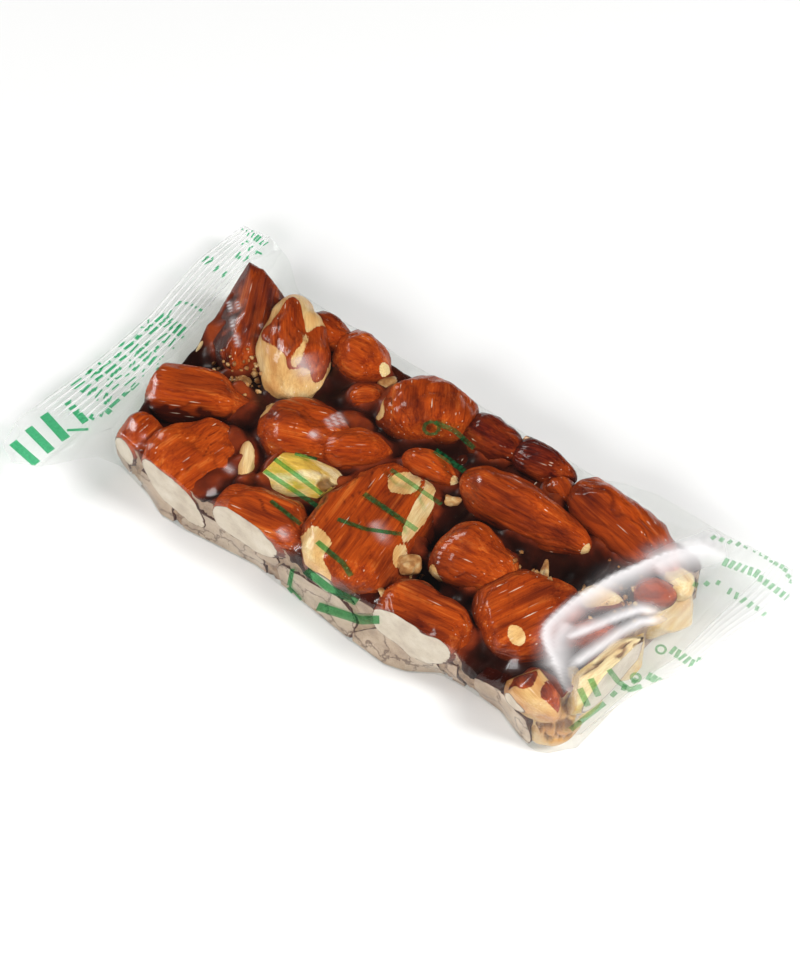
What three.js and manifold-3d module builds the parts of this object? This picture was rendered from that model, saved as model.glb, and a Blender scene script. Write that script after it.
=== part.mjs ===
// A bar of almond brittle, sealed in a clear flow-wrapped film. Millimetres, +Z up.
// X runs along the bar, Y across it with the knife-cut front at -Y, and the origin is the middle of its flat base.
// The film lies tight on the bar. Where it leaves the bar, each end of the bag is one solid:
// a tent that closes from the bar's end down to the crimped seal.
import * as THREE from 'three';
import { mergeVertices } from 'three/addons/utils/BufferGeometryUtils.js';
import Module from 'manifold-3d';

const wasm = await Module();
wasm.setup();

// ---- driving dimensions ----
const CUT_TOP = 18; // the knife cut stands higher than any nut
const LEAN_HEIGHT = 6; // the front leans from its base line to its top line over this height
const BACK_Y = 20.4; // the back edge of the bar
const LEFT_END = { front: -44.6, back: -47.4 }; // x of the cut left end, at the front and at the back
const RIGHT_END = { front: 42.8, back: 45.4 }; // x of the cut right end

// The knife-cut front: x, y at the base, y at the top. It bulges in the middle and has a notch near the right end.
const FRONT = [
  [-44.6, -16.6, -17.6],
  [-38, -18.2, -19.2],
  [-34, -20, -19.6],
  [-29, -19.9, -19.4],
  [-23.5, -19.2, -19.2],
  [-16, -18.4, -19.2],
  [-6.5, -19.2, -19.4],
  [3, -20.2, -19.4],
  [11, -20.6, -19.2],
  [14.5, -19.6, -19.2],
  [19, -16.6, -18.8],
  [25, -16.2, -18],
  [30.5, -16.5, -17.5],
  [35, -18.2, -19],
  [38.5, -18.9, -19],
  [41.2, -17.4, -18.2],
  [42.8, -14.4, -15.2],
];

const CARAMEL = { level: 8.8, ripple: 0.5, back: 18.6, cellsX: 22, cellsY: 9 };
// Hollows between the nuts, where the caramel lies low: x, y, radius, depth.
const PITS = [
  [-37, -8, 7, 3.2],
  [-41, 5, 5, 1.6],
  [7, 0, 5, 3],
  [9, -11, 4.5, 3],
  [27.5, 5, 6.5, 3.4],
  [28.5, -17, 6, 3.4],
];

// Nuts over the small size get more sides. Each ridge takes two sides.
const NUT = { small: 11, sides: [10, 14], rings: [7, 9], ridgeDepth: 0.03, taper: 0.3 };

// Every nut that shows: centre, [length, width, thickness], yaw of its tip, and pitch and roll where it leans.
// flats are the facets of a broken nut: [angle round it with 90 on top, lean towards its tip, share of its own reach].
const NUTS = [
  // back row, left to right
  { at: [-42, 12.8, 9.4], size: [21.6, 12.4, 9.8], yaw: -62, flats: [[42, 0, 0.62], [134, 0, 0.6]] },
  { at: [-32.1, 12.2, 11], size: [19.6, 11.3, 9], yaw: 129, pitch: 4 },
  { at: [-29, 18.2, 9.8], size: [9, 6.6, 7], yaw: 10 },
  { at: [-22, 17.3, 10.4], size: [10.2, 8.9, 8], yaw: 6 },
  { at: [-17.6, 12.4, 9], size: [6, 4, 4.8], yaw: 42 },
  { at: [-8, 16.2, 9.9], size: [12.4, 15.7, 10.4], yaw: 123 },
  { at: [4, 17.7, 9.6], size: [10.5, 7.6, 8.4], yaw: 5 },
  { at: [12.8, 18.6, 9.6], size: [11.4, 6.4, 8.2], yaw: 12 },
  { at: [10.6, 20, 10.6], size: [6.4, 3.8, 5], yaw: -12 },
  { at: [17.8, 16.2, 9], size: [6.4, 5.4, 6], yaw: -23 },
  { at: [29.9, 16.4, 10.4], size: [22.1, 9.9, 9], yaw: -10, flats: [[136, 0, 0.82]] },
  // middle rows
  { at: [-38.6, -4, 10], size: [18.4, 7.8, 8.6], yaw: 28, flats: [[84, 4, 0.8], [168, 4, 0.72]] },
  { at: [-20.6, 0.8, 10], size: [15.3, 11.6, 8.8], yaw: 23 },
  { at: [-15.6, 7, 7], size: [7.4, 5, 5], yaw: 0 },
  { at: [-12.3, 2.9, 10.2], size: [11.7, 6.9, 8], yaw: 35 },
  { at: [-15.7, -6.5, 9.8], size: [13.9, 9.1, 8], yaw: 23, flats: [[60, 20, 0.8], [120, -24, 0.78]] },
  { at: [-0.7, 7.1, 9.8], size: [10.2, 4.9, 7], yaw: 6 },
  { at: [15.9, 9.4, 10.6], size: [23.7, 8.9, 9], yaw: 3 },
  { at: [15, -2.3, 10.2], size: [13.6, 10.9, 9], yaw: 9 },
  { at: [27, -4.7, 9.8], size: [16.8, 15.3, 9.4], yaw: 66, flats: [[90, 0, 0.82]] },
  // front row, cut through by the knife
  { at: [-41.4, -15.6, 8.6], size: [8.2, 7.5, 9.4], yaw: -95 },
  { at: [-31, -13.7, 7.8], size: [17.6, 15.6, 9.6], yaw: 77, roll: 38 },
  { at: [-24.8, -9, 9.6], size: [8.1, 3.4, 4], yaw: -58 },
  { at: [-16.9, -15.2, 10.2], size: [18.9, 9.1, 9.6], yaw: 11, flats: [[96, 0, 0.84]] },
  { at: [-1.5, -6.3, 9.8], size: [26.8, 18, 10.2], yaw: 97, pitch: -7, flats: [[88, 0, 0.8], [142, 4, 0.76]] },
  { at: [15.6, -15.9, 9.9], size: [16.8, 10.4, 10.6], yaw: 9, flats: [[90, 0, 0.84], [90, 76, 0.84]] },
  { at: [36.2, -15.7, 10.4], size: [9.9, 6.9, 9], yaw: -15 },
  { at: [39, -14.9, 4.1], size: [7.6, 7.2, 7.8], yaw: 40 },
  // under the loose film at the right end
  { at: [34.3, 3.8, 9.8], size: [7.1, 3.9, 6.4], yaw: 36 },
  { at: [36.6, -2, 8.8], size: [9.4, 4.4, 7.4], yaw: 49 },
  { at: [40.3, 9.8, 9.6], size: [6.6, 4.9, 7], yaw: 36 },
  { at: [42.1, 14, 9.2], size: [5.4, 5, 7], yaw: -17 },
  { at: [42.3, -5, 9.4], size: [19.8, 5.4, 9], yaw: 82 },
];

// The lower layer shows only as rounded nuts along the back.
const BACK_NUTS = { count: 8, from: -39, to: 38, y: 15.8, z: 4.6, size: [12.4, 9.4, 8] };

// The film's two ends. Each station is one line of film, from where it leaves the bar to its outer edge:
// [x, y, lowest z, highest z] at the bar, then [x, y, z] at the edge, and how much of it is crimped seal.
const LEFT_FILM = [
  { bar: [-36, 20.9, 8, 9], edge: [-37.5, 22.4, 8.4], seal: 0 },
  { bar: [-42.5, 20.9, 5, 11], edge: [-45.3, 28, 7], seal: 0.1 },
  { bar: [-47.9, 20.6, 2, 12.6], edge: [-51.4, 30.3, 6.4], seal: 0.3 },
  { bar: [-47.7, 17.5, 0.6, 13.4], edge: [-56.2, 29.4, 6], seal: 0.62 },
  { bar: [-47.2, 11, 0.5, 13.6], edge: [-57.4, 19.4, 5.6], seal: 0.66 },
  { bar: [-46.6, 3, 0.5, 13.8], edge: [-57, 6.4, 5.6], seal: 0.66 },
  { bar: [-46.1, -4, 0.5, 13.8], edge: [-58.3, -5, 5.6], seal: 0.66 },
  { bar: [-45.7, -9.5, 0.6, 13], edge: [-59.8, -16.6, 5.8], seal: 0.64 },
  { bar: [-45.5, -12.4, 1.2, 12], edge: [-60.4, -23, 6], seal: 0.2 },
  { bar: [-45.4, -14, 2.4, 10], edge: [-57.4, -30.2, 5.6], seal: 0 },
  { bar: [-45.3, -15.2, 4, 8], edge: [-52.4, -27.6, 6.2], seal: 0 },
];
const RIGHT_FILM = [
  { bar: [43.2, -14.8, 0.6, 7], edge: [44, -15.4, 3], seal: 0 },
  { bar: [43.7, -8, 0.5, 12], edge: [44.7, -8.6, 2.6], seal: 0 },
  { bar: [44.2, -1, 0.5, 13.2], edge: [46.8, -1.9, 3], seal: 0.1 },
  { bar: [44.8, 6, 0.5, 13.6], edge: [50.8, 4.6, 4], seal: 0.5 },
  { bar: [45.3, 13, 0.5, 13.8], edge: [52.9, 13.4, 5], seal: 0.62 },
  { bar: [45.9, 20.6, 1, 13], edge: [56.2, 24.4, 6], seal: 0.6 },
  { bar: [41, 20.9, 3, 12], edge: [53, 28.6, 6.4], seal: 0.3 },
  { bar: [34.5, 20.9, 5, 11], edge: [42, 26.8, 7.2], seal: 0.1 },
  { bar: [27, 20.9, 6.5, 10], edge: [29.4, 26, 8], seal: 0 },
  { bar: [18.5, 20.9, 8, 9.2], edge: [19.4, 22.2, 8.4], seal: 0 },
];
const FILM = { thickness: 0.9, crimps: 5, crimpHeight: 0.34, alongSteps: 16, acrossSteps: 2 };

// ---- shapes ----
const lerp = THREE.MathUtils.lerp;
const smoothstep = THREE.MathUtils.smoothstep;

// A closed geometry with its shared corners merged, as a solid that can be joined and cut.
function solid(geometry) {
  geometry.deleteAttribute('normal');
  geometry.deleteAttribute('uv');
  const merged = mergeVertices(geometry, 1e-5);
  return new wasm.Manifold(new wasm.Mesh({
    numProp: 3,
    vertProperties: new Float32Array(merged.attributes.position.array),
    triVerts: new Uint32Array(merged.index.array),
  }));
}

function geometryOf(manifold) {
  const mesh = manifold.getMesh();
  const geometry = new THREE.BufferGeometry();
  geometry.setAttribute('position', new THREE.BufferAttribute(new Float32Array(mesh.vertProperties), 3));
  geometry.setIndex(new THREE.BufferAttribute(new Uint32Array(mesh.triVerts), 1));
  geometry.computeVertexNormals();
  return geometry;
}

function moveVertices(geometry, move) {
  const place = geometry.attributes.position;
  const p = new THREE.Vector3();
  for (let i = 0; i < place.count; i++) {
    p.fromBufferAttribute(place, i);
    move(p);
    place.setXYZ(i, p.x, p.y, p.z);
  }
  return geometry;
}

// Presses what stands beyond a facet's plane back onto it.
function flatten(p, half, [angle, lean, share]) {
  const [a, b] = [angle, lean].map(THREE.MathUtils.degToRad);
  const out = new THREE.Vector3(Math.sin(b), Math.cos(b) * Math.cos(a), Math.cos(b) * Math.sin(a));
  const beyond = p.dot(out) - share * half.clone().multiply(out).length();
  if (beyond > 0) p.addScaledVector(out, -beyond);
}

// One almond: a flattened egg, blunt behind and pointed at its tip, with shallow ridges along the skin.
function almond({ at, size, yaw, pitch = 0, roll = 0, flats = [] }) {
  const grade = size[0] > NUT.small ? 1 : 0;
  const ridges = NUT.sides[grade] / 2;
  const half = new THREE.Vector3(...size).divideScalar(2);
  const egg = new THREE.SphereGeometry(1, NUT.sides[grade], NUT.rings[grade]);
  egg.rotateZ(-Math.PI / 2);
  moveVertices(egg, (p) => {
    const ridge = 1 + NUT.ridgeDepth * Math.cos(ridges * Math.atan2(p.z, p.y));
    const width = ridge * (1 - NUT.taper * (p.x + p.x ** 3) / 2);
    p.set(p.x * half.x, p.y * width * half.y, p.z * width * half.z);
    flats.forEach((facet) => flatten(p, half, facet));
  });
  const turn = new THREE.Euler(...[roll, -pitch, yaw].map(THREE.MathUtils.degToRad), 'ZYX');
  egg.applyMatrix4(new THREE.Matrix4().makeRotationFromEuler(turn).setPosition(...at));
  return solid(egg);
}

// How far the base line and the top line of the front differ at this x.
function frontLean(x) {
  const i = FRONT.findIndex(([px]) => px >= x);
  if (i <= 0) return FRONT.at(i)[2] - FRONT.at(i)[1];
  const [a, b] = [FRONT[i - 1], FRONT[i]];
  return lerp(a[2] - a[1], b[2] - b[1], (x - a[0]) / (b[0] - a[0]));
}

// The block that the bar was cut to: everything outside it is trimmed off flat.
function knifeCut() {
  const outline = new THREE.Shape(FRONT.map(([x, y]) => new THREE.Vector2(x, y)));
  outline.lineTo(RIGHT_END.back, BACK_Y);
  outline.lineTo(LEFT_END.back, BACK_Y);
  const block = new THREE.ExtrudeGeometry(outline, { depth: CUT_TOP, steps: 3, bevelEnabled: false });
  return solid(moveVertices(block, (p) => {
    if (p.y < 0) p.y += frontLean(p.x) * smoothstep(p.z, 0, LEAN_HEIGHT);
  }));
}

// The caramel that binds the nuts: rippled on top, low in the hollows.
function caramel() {
  const { level, ripple, back, cellsX, cellsY } = CARAMEL;
  const reach = { left: LEFT_END.back - 1, right: RIGHT_END.back + 1, front: -22 };
  const slab = new THREE.BoxGeometry(reach.right - reach.left, back - reach.front, level, cellsX, cellsY, 1);
  slab.translate((reach.left + reach.right) / 2, (reach.front + back) / 2, level / 2);
  return solid(moveVertices(slab, (p) => {
    if (p.z < level / 2) return;
    const hollow = PITS.map(([x, y, r, deep]) => deep * Math.max(0, 1 - ((p.x - x) ** 2 + (p.y - y) ** 2) / r ** 2));
    p.z += ripple * Math.sin(p.x * 0.55) * Math.cos(p.y * 0.6) - Math.max(...hollow);
  }));
}

function backNuts() {
  const { count, from, to, y, z, size } = BACK_NUTS;
  return Array.from({ length: count }, (_, i) => almond({
    at: [lerp(from, to, i / (count - 1)), y, z],
    size,
    yaw: i % 2 ? 168 + 5 * i : 8 - 4 * i,
  }));
}

// Nuts and caramel as one solid. A hollow closed in between nuts is filled, and a loose crumb dropped.
function bar() {
  const whole = wasm.Manifold.union([caramel(), ...NUTS.map(almond), ...backNuts()]);
  const shells = whole.intersect(knifeCut()).decompose();
  return shells.sort((a, b) => b.volume() - a.volume())[0];
}

// The value that runs smoothly through a list of numbers, from share 0 to share 1.
function along(values, share) {
  const curve = new THREE.SplineCurve(values.map((value, i) => new THREE.Vector2(i, value)));
  return curve.getPoint(share).y;
}

// One end of the bag: a fan of film from the bar to the seal's edge, full at the bar and flat at the edge.
function filmEnd(stations) {
  const at = (pick, share) => along(stations.map(pick), share);
  const fan = new THREE.BoxGeometry(1, 1, 1, FILM.alongSteps, (stations.length - 1) * FILM.acrossSteps, 1);
  return moveVertices(fan, (p) => {
    const [out, across, side] = [p.x + 0.5, p.y + 0.5, p.z * 2];
    const seal = THREE.MathUtils.clamp(at((s) => s.seal, across), 0, 1);
    const tent = Math.max(0, 1 - out / (1 - Math.min(seal, 0.7)));
    const low = at((s) => s.bar[2], across);
    const high = at((s) => s.bar[3], across);
    const half = Math.max(FILM.thickness / 2, (high - low) / 2 * tent ** 1.15);
    const crimp = seal > 0 && tent === 0 ? Math.sin((out - 1 + seal) / seal * FILM.crimps * 2 * Math.PI) : 0;
    const middle = lerp(at((s) => s.edge[2], across), (low + high) / 2, tent);
    p.set(
      lerp(at((s) => s.bar[0], across), at((s) => s.edge[0], across), out),
      lerp(at((s) => s.bar[1], across), at((s) => s.edge[1], across), out),
      middle + side * half + FILM.crimpHeight * crimp * smoothstep(seal, 0.3, 0.6),
    );
  });
}

// ---- the object ----
const brittle = new THREE.MeshStandardMaterial({ color: 0x8a3a18, roughness: 0.35, metalness: 0 });
const clearFilm = new THREE.MeshStandardMaterial({ color: 0xe6ece8, roughness: 0.2, metalness: 0 });

const group = new THREE.Group();

function addPart(name, geometry, material) {
  const mesh = new THREE.Mesh(geometry, material);
  mesh.name = name;
  group.add(mesh);
}

addPart('brittle_bar', geometryOf(bar()), brittle);
addPart('wrapper_end_left', filmEnd(LEFT_FILM), clearFilm);
addPart('wrapper_end_right', filmEnd(RIGHT_FILM), clearFilm);

export default group;
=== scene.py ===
# A bar of almond brittle in a clear flow-wrap bag: nuts, caramel, crumbs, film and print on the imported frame.
# Lengths are in millimetres, in the frame's own axes, until a mesh is made: MM turns them to metres.
import math
from functools import partial

import bmesh
import bpy
import numpy as np
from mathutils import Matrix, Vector
from mathutils.bvhtree import BVHTree


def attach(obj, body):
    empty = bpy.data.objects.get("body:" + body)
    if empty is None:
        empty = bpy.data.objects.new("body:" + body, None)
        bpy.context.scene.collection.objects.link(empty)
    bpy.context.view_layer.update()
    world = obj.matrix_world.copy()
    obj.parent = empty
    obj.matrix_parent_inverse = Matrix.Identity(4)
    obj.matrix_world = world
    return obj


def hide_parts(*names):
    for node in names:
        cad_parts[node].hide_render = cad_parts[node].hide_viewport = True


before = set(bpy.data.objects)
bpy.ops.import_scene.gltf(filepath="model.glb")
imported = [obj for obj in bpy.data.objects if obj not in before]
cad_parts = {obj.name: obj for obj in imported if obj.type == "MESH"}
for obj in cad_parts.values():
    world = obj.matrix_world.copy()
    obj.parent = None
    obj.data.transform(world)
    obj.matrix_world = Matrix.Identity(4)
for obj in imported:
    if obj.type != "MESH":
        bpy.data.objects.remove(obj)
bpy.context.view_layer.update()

MM = 0.001
ROOT = "root"

# ---- the bar: the same sizes as its solids ----
LEAN_HEIGHT = 6.0
BACK_Y = 20.4
LEFT_END = {"front": (-44.6, -16.6), "back": (-47.4, BACK_Y)}
RIGHT_END = {"front": (42.8, -14.4), "back": (45.4, BACK_Y)}
BASE_LIFT = 0.12  # the nuts lie on the film, and the film on the table
FRONT = np.array([  # x, y at the base, y at the top of the knife-cut front
    (-44.6, -16.6, -17.6), (-38, -18.2, -19.2), (-34, -20, -19.6), (-29, -19.9, -19.4), (-23.5, -19.2, -19.2),
    (-16, -18.4, -19.2), (-6.5, -19.2, -19.4), (3, -20.2, -19.4), (11, -20.6, -19.2), (14.5, -19.6, -19.2),
    (19, -16.6, -18.8), (25, -16.2, -18), (30.5, -16.5, -17.5), (35, -18.2, -19), (38.5, -18.9, -19),
    (41.2, -17.4, -18.2), (42.8, -14.4, -15.2),
])
# The caramel: how high it stands, ripples and climbs the nuts, and how far it stands back from each side. rough
# is the height and size of the unevenness of its cut, and thin how far from a nut it shows amber, and how much.
CARAMEL = {"level": 8.8, "ripple": 0.35, "climb": 2.0, "reach": 0.9, "back": 18.6, "recess": 0.5,
           "corner": 4.2, "corner_x": (34, 37.5), "right": 2.6, "cells": (230, 96, 24),
           "rough": ((0.12, 1.6), (0.1, 0.8)), "thin": (0.8, 0.8)}
# Hollows in the caramel: x, y, radius, depth.
PITS = [
    (-37, -8, 7, 3.2), (-41, 5, 5, 1.6), (7, 0, 5, 3), (9, -11, 4.5, 3), (27.5, 5, 6.5, 3.4),
    (28.5, -17, 6, 3.4), (-1.6, -20.4, 4.6, 3),
]

# ---- the nuts: centre, size, yaw of the tip, then how each one looks ----
# tone runs from 0, dark, to 1, light. bare is 1 on a nut that has lost its skin. patches turn skin to kernel
# or back: place along the nut from -1 to 1, angle round it with 90 on top, reach along and round it. dents,
# and soaked, where caramel darkens the skin, are given in the same way. flats are facets: angle round the
# nut, lean towards the tip, share of its reach. broken adds random ones. A whole nut lies past the knife.
TAPER = 0.3


def nut_at(at, size, yaw, **looks):
    return {"at": at, "size": size, "yaw": yaw, **looks}


NUTS = [
    nut_at((-42, 12.8, 9.4), (21.6, 12.4, 9.8), -62, tone=0.35, flats=[(42, 0, 0.62), (134, 0, 0.6)],
           soaked=[(0.4, 150, 0.9, 50)]),
    nut_at((-32.1, 12.2, 11), (19.6, 11.3, 9), 129, pitch=4, tone=0.45, bare=1, patches=[(0.2, 84, 0.6, 34),
           (-0.3, 142, 0.56, 36)], flats=[(118, -32, 0.86)]),
    nut_at((-29, 18.2, 9.8), (9, 6.6, 7), 10, tone=0.35),
    nut_at((-22, 17.3, 10.4), (10.2, 8.9, 8), 6, tone=0.8, patches=[(0.95, 85, 0.16, 60)]),
    nut_at((-17.6, 12.4, 9), (6, 4, 4.8), 42, tone=0.55),
    nut_at((-8, 16.2, 9.9), (12.4, 15.7, 10.4), 123, square=0.15, tone=0.45, patches=[(-0.2, 12, 0.34, 16)]),
    nut_at((4, 17.7, 9.6), (10.5, 7.6, 8.4), 5, tone=0.0),
    nut_at((12.8, 18.6, 9.6), (11.4, 6.4, 8.2), 12, tone=0.05),
    nut_at((10.6, 20, 10.6), (6.4, 3.8, 5), -12, tone=0.2, bare=1, broken=6),
    nut_at((17.8, 16.2, 9), (6.4, 5.4, 6), -23, tone=0.5),
    nut_at((29.9, 16.4, 10.4), (22.1, 9.9, 9), -10, tone=0.45, flats=[(136, 0, 0.82)]),
    nut_at((-38.8, -4, 10), (18.6, 9, 8.8), 26, tone=0.55, flats=[(84, 4, 0.88), (168, 4, 0.8)],
           soaked=[(0, 190, 1.2, 40)]),
    nut_at((-20.6, 0.8, 10), (15.3, 11.6, 8.8), 23, tone=0.5, patches=[(-0.9, 60, 0.12, 30)]),
    nut_at((-15.6, 7, 7), (7.4, 5, 5), 0, tone=0.1),
    nut_at((-12.3, 2.9, 10.2), (11.7, 6.9, 8), 35, tone=0.85),
    nut_at((-15.7, -6.5, 9.8), (13.9, 9.1, 8), 23, tone=1.25, square=0.2, bare=1, broken=7,
           flats=[(60, 20, 0.8), (120, -24, 0.74)], dents=[(0.7, 112, 0.34, 34)]),
    nut_at((-0.7, 7.1, 9.8), (10.2, 4.9, 7), 6, tone=0.85, patches=[(0.92, 120, 0.14, 60)]),
    nut_at((15.9, 9.4, 10.6), (23.7, 8.9, 9), 3, tone=0.5, patches=[(0.97, 140, 0.07, 80)]),
    nut_at((15, -2.3, 10.2), (13.6, 10.9, 9), 9, tone=0.55, patches=[(-0.62, 175, 0.2, 22)]),
    nut_at((27, -4.7, 9.8), (16.8, 15.3, 9.4), 66, tone=0.5, patches=[(-0.57, 129, 0.16, 17)],
           flats=[(90, 0, 0.82)]),
    nut_at((-41.4, -15.6, 8.6), (8.2, 7.5, 9.4), -95, tone=0.9),
    nut_at((-31, -13.7, 8.3), (17.6, 15.6, 8.8), 77, roll=38, tone=1.0),
    nut_at((-24.8, -9, 9.6), (8.1, 3.4, 4), -58, tone=0.7, bare=1, broken=4),
    nut_at((-15.8, -16.2, 9.8), (16.6, 11, 9.8), 10, tone=0.55, flats=[(96, 0, 0.84)]),
    nut_at((-1.5, -6.3, 9.8), (26.8, 18, 10.2), 97, pitch=-7, square=0.35, tone=0.6,
           patches=[(0.56, 92, 0.22, 24), (0.38, 136, 0.46, 16), (-0.82, 50, 0.28, 38),
           (-0.3, 146, 0.13, 12)], flats=[(88, 0, 0.8), (142, 4, 0.76)]),
    nut_at((15.6, -15.9, 9.9), (16.8, 10.4, 10.6), 9, square=0.3, tone=0.45, flats=[(90, 0, 0.84),
           (90, 76, 0.84)]),
    nut_at((36.2, -15.7, 10), (10.4, 7.6, 9), -15, tone=0.3, bare=1, broken=6, patches=[(0.6, 70, 0.4, 30),
           (-0.5, 110, 0.44, 34)]),
    nut_at((39, -15, 4.3), (9, 7.2, 8.2), 34, tone=0.5, bare=1, broken=3, whole=True,
           dents=[(-0.4, 140, 0.44, 26), (0.42, 134, 0.42, 22), (0.0, 172, 0.24, 16), (0.5, 176, 0.2, 14)]),
    nut_at((34.3, 3.8, 9.8), (7.1, 3.9, 6.4), 36, tone=0.6, bare=1),
    nut_at((36.6, -2, 8.8), (9.4, 4.4, 7.4), 49, tone=0.6),
    nut_at((40.3, 9.8, 9.6), (6.6, 4.9, 7), 36, tone=0.8),
    nut_at((42.1, 14, 9.2), (5.4, 5, 7), -17, tone=0.9, bare=1, broken=4),
    nut_at((42.3, -5, 9.4), (19.8, 5.4, 9), 82, tone=1.0, bare=1, broken=8, dents=[(0.3, 96, 0.2, 26),
           (-0.2, 60, 0.24, 20), (0.75, 110, 0.2, 30)]),
]
# The lower layer, seen as cut faces side by side along the front: x, z, width and height of each.
FRONT_FACES = [
    (-41.3, 4.4, 5, 4.2), (-36, 3.3, 6.6, 6), (-25.3, 3, 6, 5.4), (-19.4, 6.2, 6.4, 3), (-14, 6, 5, 2.8),
    (-20.8, 2.4, 8.6, 4.8), (-13.4, 2.5, 6, 5), (-8.6, 2.8, 5.8, 5.6), (-1.8, 3.1, 9.2, 6.2),
    (6.6, 7.8, 6.2, 4.4), (10.8, 3.8, 10, 7.4), (16.4, 3.1, 4.6, 5), (22.6, 3.1, 8.6, 6), (28.6, 3, 6.6, 5.8),
    (33.4, 3.2, 4.8, 6.2),
]
# The same layer at the two ends, which the film hides in part.
END_NUTS = [
    nut_at((39, -7.4, 4.4), (10.4, 8.2, 8.4), 74, tone=1.0, bare=1, broken=4, whole=True),
    nut_at((40, 1.6, 4.6), (10.8, 8.6, 8.8), 96, tone=1.0, bare=1, broken=5, whole=True,
           dents=[(-0.5, 40, 0.2, 20)]),
    nut_at((40.8, 12.2, 4.6), (12.4, 8.6, 8.8), 88, tone=0.95, bare=1, broken=4, whole=True),
    nut_at((-43.6, -9, 3.4), (11, 9, 6.6), 170, square=0.3, tone=0.5),
    nut_at((-43, 1, 3.6), (11, 9.6, 7), 184, square=0.3, tone=0.5),
    nut_at((-45.9, 8.4, 8.2), (10.5, 1.1, 2), -82, tone=0.5, bare=1),
    nut_at((-44.6, 12, 3.4), (11, 9.6, 6.6), 176, square=0.3, tone=0.5),
]
# The back is cut as the front is: how many faces its lower layer has, where they run, their size and spread.
BACK_FACES = {"count": 13, "start": -43.0, "stop": 37.6, "z": 3.6, "width": 6.8, "height": 6.4, "vary": 1.3,
              "seed": 4}

# Slivers and crumbs of nut: centre, size, yaw.
SLIVERS = [
    ((25.2, 1.6, 9.8), (7.2, 1.5, 1.0), -59), ((-16.6, 16.2, 9.8), (4.4, 1.9, 1.6), 66), ((7.6, -9.6, 11.6),
    (3.4, 3, 2.6), 25), ((-30.6, -0.2, 8.8), (4.6, 1.6, 1.4), 18), ((-28.4, 1.6, 8.9), (2.6, 2, 1.6), 70),
    ((-33, 1.8, 8.9), (3.4, 1.3, 1.1), -24), ((-35.4, 3.4, 9.3), (2.6, 1.4, 1.2), 40), ((5.2, 4.4, 10.6),
    (2.8, 1.8, 1.5), 15), ((41, 7.4, 9.8), (3, 1.2, 1), 80), ((8.2, -16.8, 12.6), (3.2, 1.1, 0.9), -30),
    ((21.6, -1.4, 9.6), (2.6, 1, 0.8), -30), ((37.6, 5.4, 9.2), (3.2, 1.2, 0.9), 64),
]
CRUMBS = {"count": 150, "size": (0.4, 1.05), "seed": 11, "highest": 12.5,
          "clusters": [(-33.5, 3.5, 3), (-35.5, 5.5, 3), (24, -1, 5), (9, -9, 3), (-40, 1, 3.5), (37, 6, 4),
                       (30, 4, 5)]}

# ---- the film, as ribs across the bag: where each rib's outline runs, from the front to the back ----
FILM_GAP = 0.12
SEAL_Z = 6.0
LEFT_EDGE = [
    (-55.4, -30.2), (-58.6, -28.6), (-60.4, -22.8), (-59.8, -16.6), (-58.3, -5), (-57, 6.4), (-57.4, 19.4),
    (-56.2, 29.4),
]
LEFT_SEAL = [
    (-52.3, -27.6), (-51.6, -22), (-50.9, -14), (-50.2, -5), (-49.9, 6), (-50.6, 18), (-51, 30.2),
]
RIGHT_SEAL = [
    (44.2, -15.3), (45.1, -8.6), (46.2, -1.2), (48, 4.6), (48.7, 13), (49.6, 20), (50.4, 28.4),
]
RIGHT_EDGE = [
    (44.5, -15.5), (45.6, -8.8), (47.2, -1.9), (50.8, 4.6), (52.9, 13.4), (55.4, 19.6), (56.2, 24.4),
    (53.6, 28.4),
]
# Where the film's side closes behind the bar: x, y, z. It stands off near both ends.
BACK_CLOSE = np.array([
    (-51, 30.2, 6), (-45.3, 28, 7), (-41, 24.2, 7.6), (-36, 21.4, 7.4), (-30, 20.9, 6), (14, 20.9, 6),
    (18.5, 21.6, 7.8), (23, 24.4, 8), (29.4, 26.2, 8), (42, 26.8, 7.4), (50.4, 28.4, 6.4),
])
RIB_Z = {True: 12.4, False: 0.03}  # the ribs of the upper and the lower half, before the film is drawn tight
SEAL_GAP = 0.05  # from the middle of a seal to either half of the bag
SPANS = 60  # between the ribs over the bar
SETTLE = 500  # rounds until the film lies tight
CRUMPLE = (0.07, 4.0)  # height and size of its unevenness
LOWEST = 0.02  # no film lies under this
COLUMNS = {"seal": 60, "tent": 16, "bar": 190}
ROWS = {"side": 12, "top": 92}
# The fins: width and strength of crimp, then where along the seal the crimps fade in, and how the fins wave.
FIN = {"left": (10, 1.0), "right": (7, 0.5), "pitch": 1.3, "crimp": 0.09}
CRIMP_START = {"left": (0.17, 0.24), "right": (0.3, 0.5)}
FIN_WAVE = {"left": (0.6, 9.0, 0.6), "right": (0.7, 7.0, 2.0)}  # height, turns, start
CORNER_CURL = (1.6, 0.22)  # the near left corner: how high it curls, and how far along the seal
# fold: how milky the folds and glint streaks are painted at most, partly as painted reflection and painted
# highlights
MILK = {"film": 0.004, "seal": 0.12, "crest": 0.4, "tent": 0.07, "corner": 0.16, "loose": 0.16, "fold": 0.95}
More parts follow.
